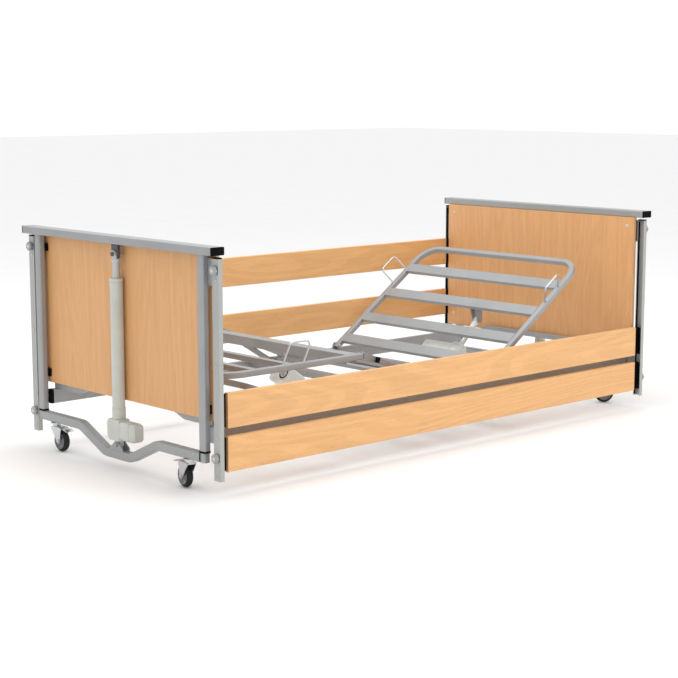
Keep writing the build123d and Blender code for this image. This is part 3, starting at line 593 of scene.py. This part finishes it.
deck_drive(
    "backrest_motor", "backrest_motor_tilt", "backrest_rod_tilt", tube_radius=22, bore=19,
    case=(208, 262, 30), case_rounding=0.985, motor=(18, 163, 25),
)
deck_drive(
    "knee_motor", "knee_motor_tilt", "knee_rod_tilt", tube_radius=20, bore=15,
    case=(148, 228, 28), case_rounding=0.35, motor=(18, 88, 26),
)


def rod_eye(rod, eye, radius):
    """Moulded ring round a rod's eye."""
    ring = mm((
        (-9, 10.6), (-9, radius - 0.7), (-8, radius), (8, radius), (9, radius - 0.7), (9, 10.6),
        (-9, 10.6),
    ))
    lathe(f"{rod}_eye", ring, frame_of(eye, ACROSS, UP), WHITE, rod, 40)


backrest_eye = hinge_point("backrest_rod_tilt")
backrest_shank = mm(((11.5, 9.8), (11.5, 10.2), (14, 11.4), (30, 11.4), (44, 10.8), (46, 9.8)))
rod_eye("knee_rod", hinge_point("knee_rod_tilt"), 11.6)
rod_eye("backrest_rod", backrest_eye, 12.2)
lathe(
    "backrest_rod_shank", backrest_shank,
    frame_of(backrest_eye, hinge_point("backrest_motor_tilt") - backrest_eye, UP),
    WHITE, "backrest_rod", 40,
)

# ---------------------------------------------------------------- caps, screws and small fittings

SECTION_TUBE_Y = 400 * MM
TUBE_PLUG = mm_steps(((-1, 0.98), (2.4, 1), (3.6, 0.82)))
PLUG_HALF = 9.9 * MM
PLUG_CORNER = 2.6 * MM
CALF_END_X = -340 * MM
THIGH_LENGTH = 283 * MM
THIGH_SLOPE = radians(21.8)
HINGE_BOLT_Y = 388 * MM
PANEL_CAPS = ((452, 700), (-452, 700), (452, 275), (-452, 275))
CHANNEL_Y = 505 * MM
CHANNEL_FACE_X = 1035 * MM
CHANNEL_SCREWS = (("top", 660), ("mid", 400), ("low", 180), ("foot", 69))
# Thin black strips laid inside the channels are painted shade.
SHADE_STRIP_X, SHADE_STRIP_Z = 1026 * MM, 384 * MM
SHADE_STRIP_OUTLINE = rounded_outline(10 * MM, 664 * MM, 1 * MM)
FLANGES = (("outer", 517.7), ("inner", 492.3))
KNOB_FACE_X = 1047.6 * MM
KNOB_HEIGHTS = (("upper", 688), ("lower", 118))

knee_hinge = hinge_point("knee_raise")
thigh_way = Vector((-cos(THIGH_SLOPE), 0, sin(THIGH_SLOPE)))
for side, across in SIDES:
    y = across * SECTION_TUBE_Y
    calf_end = frame_of((CALF_END_X, y, hinge_point("calf_level").z), (1, 0, 0), UP)
    thigh_end = frame_of(
        Vector((0, y, 0)) + knee_hinge + thigh_way * THIGH_LENGTH, thigh_way, UP
    )
    for section, place in (("calf", calf_end), ("thigh", thigh_end)):
        section_shell(
            f"{section}_cap_{side}", TUBE_PLUG, PLUG_HALF, PLUG_HALF, PLUG_CORNER, place, BLACK,
            section,
        )

for section, joint in (("knee", "knee_raise"), ("backrest", "backrest_tilt")):
    at = hinge_point(joint)
    for side, across in SIDES:
        spot = frame_of((at.x, across * HINGE_BOLT_Y, at.z), (0, -across, 0), UP)
        screw(
            f"{section}_hinge_bolt_{side}", spot, 8 * MM, 4.5 * MM, ZINC, "upper"
        )

# Screw caps on the inner faces of both end panels.
panel_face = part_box("head_panel")[0][0]
for number, (y, z) in enumerate(PANEL_CAPS):
    for end, way in ENDS:
        spot = frame_of((way * panel_face, y * MM, z * MM), (-way, 0, 0), UP)
        screw(
            f"{end}_panel_cap_{number}", spot, 6 * MM, 2.2 * MM, PALE, "upper",
            socket=False,
        )

# Screws and thin black strips of painted shade on the channels, and the caps of the knobs.
for end, way in ENDS:
    for side, across in SIDES:
        for level, height in CHANNEL_SCREWS:
            spot = frame_of(
                (way * CHANNEL_FACE_X, across * CHANNEL_Y, height * MM), (way, 0, 0), UP
            )
            screw(
                f"channel_screw_{end}_{side}_{level}", spot, 5 * MM, 3 * MM, ZINC, "upper",
            )
        # Thin black strips on the inner faces of the channel flanges are painted shade, darkening
        # the inside of each channel.
        for flange, inner_y in FLANGES:
            strip = frame_of((way * SHADE_STRIP_X, across * inner_y * MM, SHADE_STRIP_Z), (1, 0, 0), UP)
            prism(
                f"channel_liner_{end}_{side}_{flange}", SHADE_STRIP_OUTLINE, 0.25 * MM, strip, BLACK,
                "upper", 0.1 * MM,
            )
        for level, height in KNOB_HEIGHTS:
            spot = frame_of((way * KNOB_FACE_X, across * CHANNEL_Y, height * MM), (way, 0, 0), UP)
            knob = f"knob_{end}_{side}_{level}"
            screw(
                f"{knob}_cap", spot, 6 * MM, 1.6 * MM, PALE, knob, socket=False
            )

# ---------------------------------------------------------------- room, light and camera

LAMPS = (  # name, place, size and power
    ("key", (2.0, -5.0, 3.4), 2.6, 48),
    ("top", (0.3, 0.4, 4.8), 4.0, 50),
    ("head", (-0.6, 0.1, 2.8), 1.2, 18),
)
LAMP_TARGET = Vector((0, 0, 0.35))
FLOOR_Z = -0.0005
CAMERA_PLACE = (-4.010, -4.295, 1.230)
CAMERA_YAW = radians(42.5)
CAMERA_PITCH = radians(8.84)


def place_facing(thing, place, aim):
    """Puts a lamp or camera in the scene, looking along aim."""
    thing.location = place
    thing.rotation_mode = "QUATERNION"
    thing.rotation_quaternion = aim.to_track_quat("-Z", "Y")
    bpy.context.scene.collection.objects.link(thing)


def studio():
    """White floor, soft white surroundings and three area lights."""
    bpy.ops.mesh.primitive_plane_add(size=60, location=(0, 0, FLOOR_Z))
    floor = bpy.context.active_object
    floor.name = "floor"
    pale = Shader("floor_white", roughness=0.9)
    spread = pale.ramp(
        pale.noise(3), "Fac", ((0.3, (0.9, 0.9, 0.9)), (0.7, (0.92, 0.92, 0.92)))
    )
    pale.colour((spread, "Color"))
    floor.data.materials.append(pale.material)

    world = bpy.data.worlds.new("studio")
    bpy.context.scene.world = world
    world.use_nodes = True
    background = world.node_tree.nodes["Background"]
    background.inputs["Color"].default_value = (1, 1, 1, 1)
    background.inputs["Strength"].default_value = 1.0

    for name, place, size, energy in LAMPS:
        light = bpy.data.lights.new(name, "AREA")
        light.size = size
        light.energy = energy
        place_facing(bpy.data.objects.new(name, light), place, LAMP_TARGET - Vector(place))


def camera():
    """Seen from beyond the foot end on the near side, a little above the end bars."""
    eye = bpy.data.cameras.new("camera")
    eye.lens = 86.64
    eye.sensor_width = 36
    eye.clip_end = 200
    viewer = bpy.data.objects.new("camera", eye)
    level = cos(CAMERA_PITCH)
    aim = Vector((sin(CAMERA_YAW) * level, cos(CAMERA_YAW) * level, -sin(CAMERA_PITCH)))
    place_facing(viewer, CAMERA_PLACE, aim)
    bpy.context.scene.camera = viewer


studio()
camera()
bpy.context.scene.view_settings.view_transform = "Standard"
